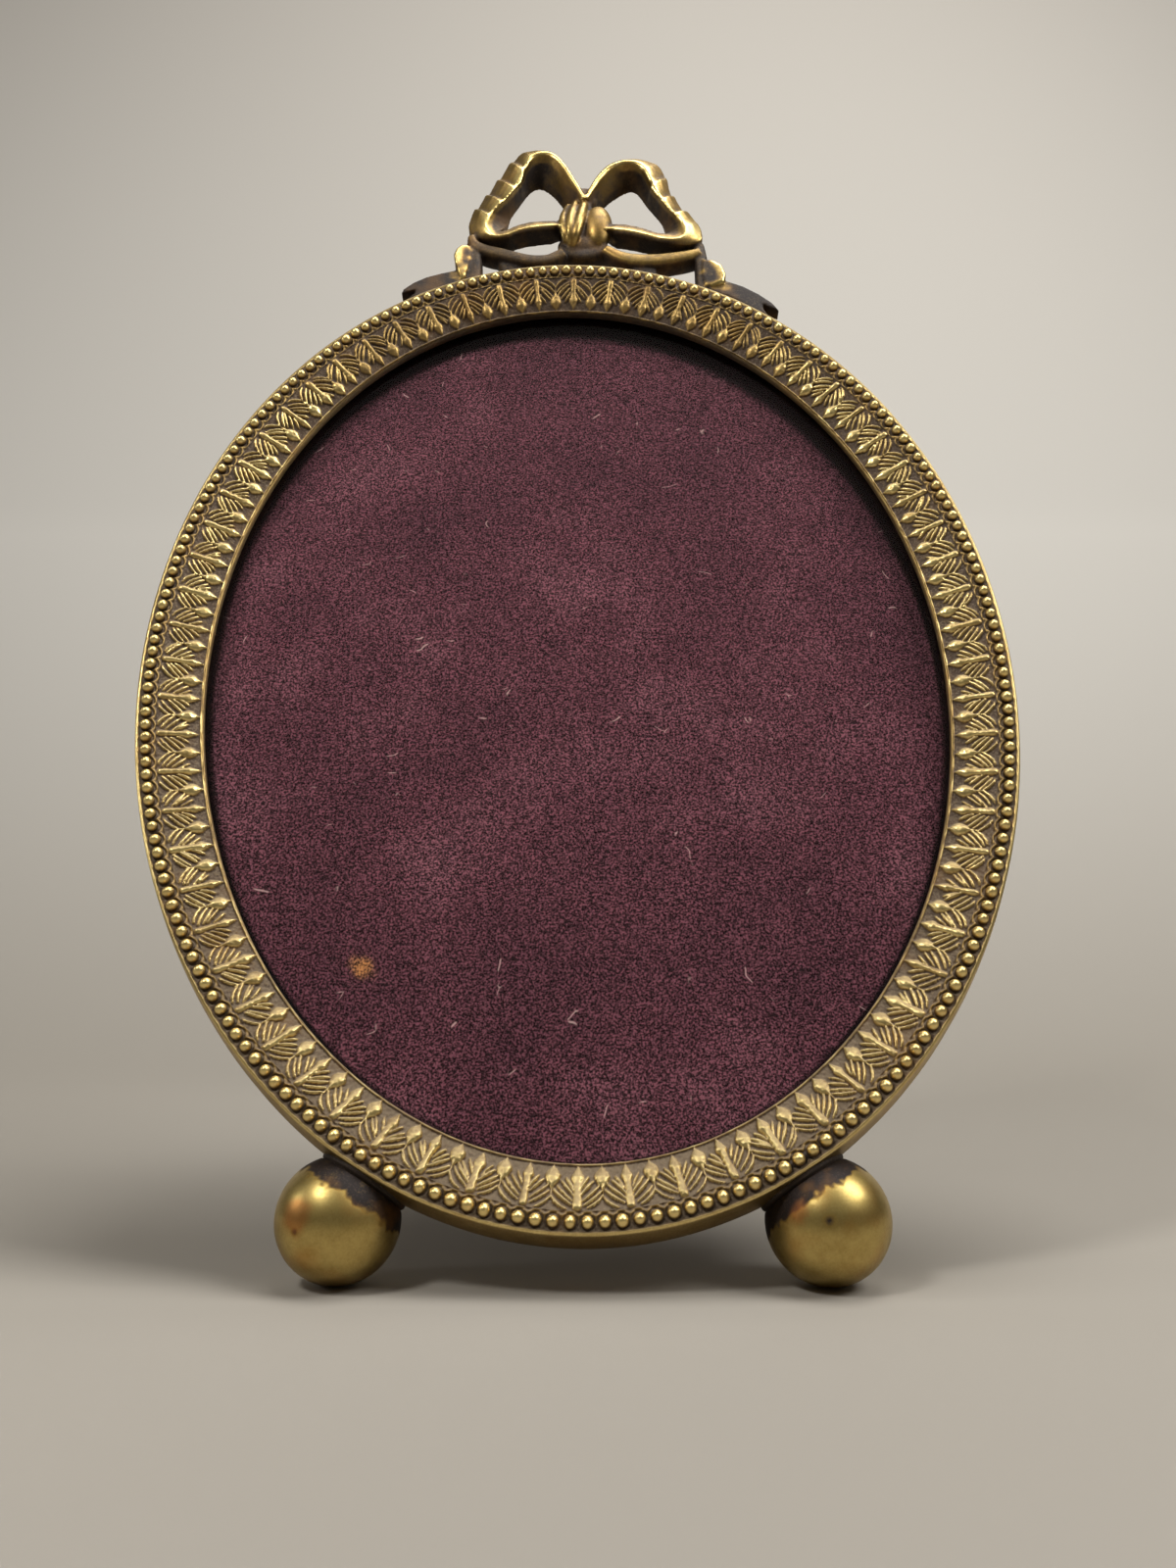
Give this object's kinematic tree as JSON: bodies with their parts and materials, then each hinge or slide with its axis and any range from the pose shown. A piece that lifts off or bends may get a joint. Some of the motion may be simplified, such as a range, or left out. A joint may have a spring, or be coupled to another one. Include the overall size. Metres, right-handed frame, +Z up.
{
  "type": "oval picture frame",
  "caption": "Oval cast brass easel picture frame with a palmette band, bead border, ribbon bow crest, ball feet and a velvet-covered back with a hinged leg.",
  "frame": {"origin": "on the table, under the middle of the frame as it stands open", "axes": "+Z up; -Y is the side that shows the picture; +X to the right as seen from the front"},
  "size_m": [0.1574, 0.0998, 0.2304],
  "materials": {
    "ring_brass": "cast brass with dark patina in the relief",
    "bead_brass": "rubbed cast brass beads",
    "bow_brass": "cast brass, dark brown patina, bright edges",
    "ball_brass": "satin brass, dark near the solder",
    "collar_brass": "dark soldered brass",
    "fitting_brass": "plain rolled brass",
    "glass": "clear picture glass",
    "plum_velvet": "plum cotton velvet",
    "board": "pressed board"
  },
  "bodies": {
    "frame": {"bezel": "ring_brass", "bead_border": "bead_brass", "bow_crest": "bow_brass", "glass_pane": "glass", "velvet_front": "plum_velvet", "backing_board": "board", "velvet_back": "plum_velvet", "button_screws": "fitting_brass", "button_washers": "fitting_brass", "hinge_plate": "fitting_brass", "hinge_pin": "fitting_brass", "plate_rivets": "fitting_brass", "ball_foot_left": "ball_brass", "foot_collar_left": "collar_brass", "ball_foot_right": "ball_brass", "foot_collar_right": "collar_brass"},
    "leg": {"hinge_strap": "fitting_brass", "strap_rivets": "fitting_brass", "strut_velvet_inner": "plum_velvet", "strut_board": "board", "strut_velvet_outer": "plum_velvet"},
    "button_upper_left": {"turn_button_upper_left": "fitting_brass"},
    "button_upper_right": {"turn_button_upper_right": "fitting_brass"},
    "button_lower_left": {"turn_button_lower_left": "fitting_brass"},
    "button_lower_right": {"turn_button_lower_right": "fitting_brass"}
  },
  "joints": [
    {"name": "easel_swing", "type": "hinge", "parent": "frame", "child": "leg", "pos_m": [0, 0.01675, 0.13137], "axis": [-1, 0, 0], "range_deg": [0, 35]},
    {"name": "turn_upper_left", "type": "hinge", "parent": "frame", "child": "button_upper_left", "pos_m": [-0.05905, 0.02235, 0.15349], "axis": [0, -0.9272, 0.3746], "range_deg": [0, 90]},
    {"name": "turn_upper_right", "type": "hinge", "parent": "frame", "child": "button_upper_right", "pos_m": [0.05239, 0.02454, 0.15891], "axis": [0, -0.9272, 0.3746], "range_deg": [0, 90]},
    {"name": "turn_lower_left", "type": "hinge", "parent": "frame", "child": "button_lower_left", "pos_m": [-0.05239, -0.02525, 0.03568], "axis": [0, -0.9272, 0.3746], "range_deg": [0, 90]},
    {"name": "turn_lower_right", "type": "hinge", "parent": "frame", "child": "button_lower_right", "pos_m": [0.05905, -0.02306, 0.04109], "axis": [0, -0.9272, 0.3746], "range_deg": [0, 90]}
  ]
}
